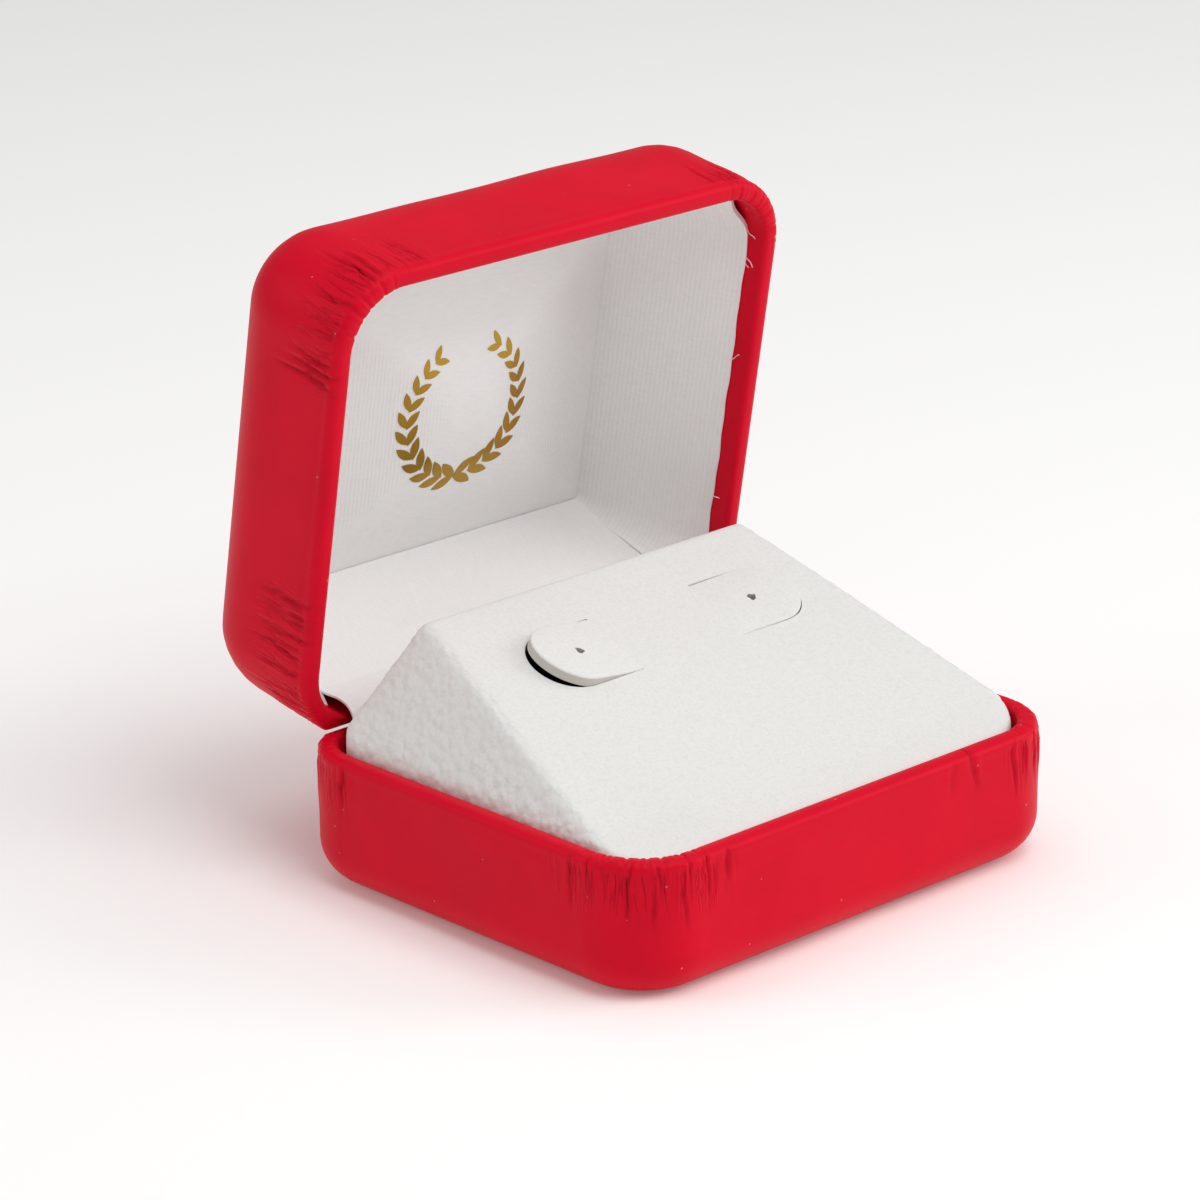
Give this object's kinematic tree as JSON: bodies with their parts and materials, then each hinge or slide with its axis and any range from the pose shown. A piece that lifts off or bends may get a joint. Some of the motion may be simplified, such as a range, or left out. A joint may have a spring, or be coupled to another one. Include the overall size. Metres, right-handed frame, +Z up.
{
  "type": "ring box",
  "caption": "Hinged jewellery box for rings or stud earrings: red leatherette case, snap hinge, white wedge insert with lifting die-cut flaps and a puffed satin lid lining",
  "frame": {"origin": "middle of the face the box stands on, under the closed case", "axes": "+X to the right across the width, +Y to the back where the hinge is, +Z up; the lid is stored open"},
  "size_m": [0.0604, 0.0648, 0.0652],
  "materials": {
    "red_leatherette": "matte embossed leatherette, fine smooth grain",
    "white_leatherette": "matte leatherette with a fine pebble grain",
    "satin": "white satin, soft directional sheen",
    "steel": "stamped sheet, dull",
    "hinge_steel": "nickel plated, satin",
    "spring_steel": "blued spring steel",
    "rivet_steel": "nickel plated",
    "card": "grey board",
    "foam": "black closed-cell foam",
    "wadding": "polyester wadding",
    "gold_foil": "hot-stamped gold foil, bright"
  },
  "bodies": {
    "base": {"base_shell": "steel", "base_cover": "red_leatherette", "hinge_leaf_base": "hinge_steel", "hinge_rivets_base": "rivet_steel", "hinge_pin": "hinge_steel", "snap_spring": "spring_steel", "insert_base_card": "card", "insert_core": "foam", "insert_slope_card": "card", "insert_cover": "white_leatherette", "hinge_cover": "satin"},
    "lid": {"lid_shell": "steel", "lid_cover": "red_leatherette", "hinge_leaf_lid": "hinge_steel", "hinge_rivets_lid": "rivet_steel", "lining_card": "card", "lining_wadding": "wadding", "lining_puff_satin": "satin", "lining_wall_band": "satin", "lining_wall_hinge": "satin", "foil_ornament": "gold_foil"},
    "left_flap": {"left_flap": "white_leatherette"},
    "right_flap": {"right_flap": "white_leatherette"}
  },
  "joints": [
    {"name": "lid_hinge", "type": "hinge", "parent": "base", "child": "lid", "pos_m": [0, 0.0235, 0.0153], "axis": [1, 0, 0], "range_deg": [0, 80], "deforming": ["hinge_cover"]},
    {"name": "left_flap_fold", "type": "hinge", "parent": "base", "child": "left_flap", "pos_m": [-0.0054, 0.0035, 0.02367], "axis": [0, 0.9306, 0.3661], "range_deg": [-6.5, 9.5]},
    {"name": "right_flap_fold", "type": "hinge", "parent": "base", "child": "right_flap", "pos_m": [0.0086, 0.0035, 0.02367], "axis": [0, -0.9306, -0.3661], "range_deg": [-1.5, 14.5]}
  ]
}
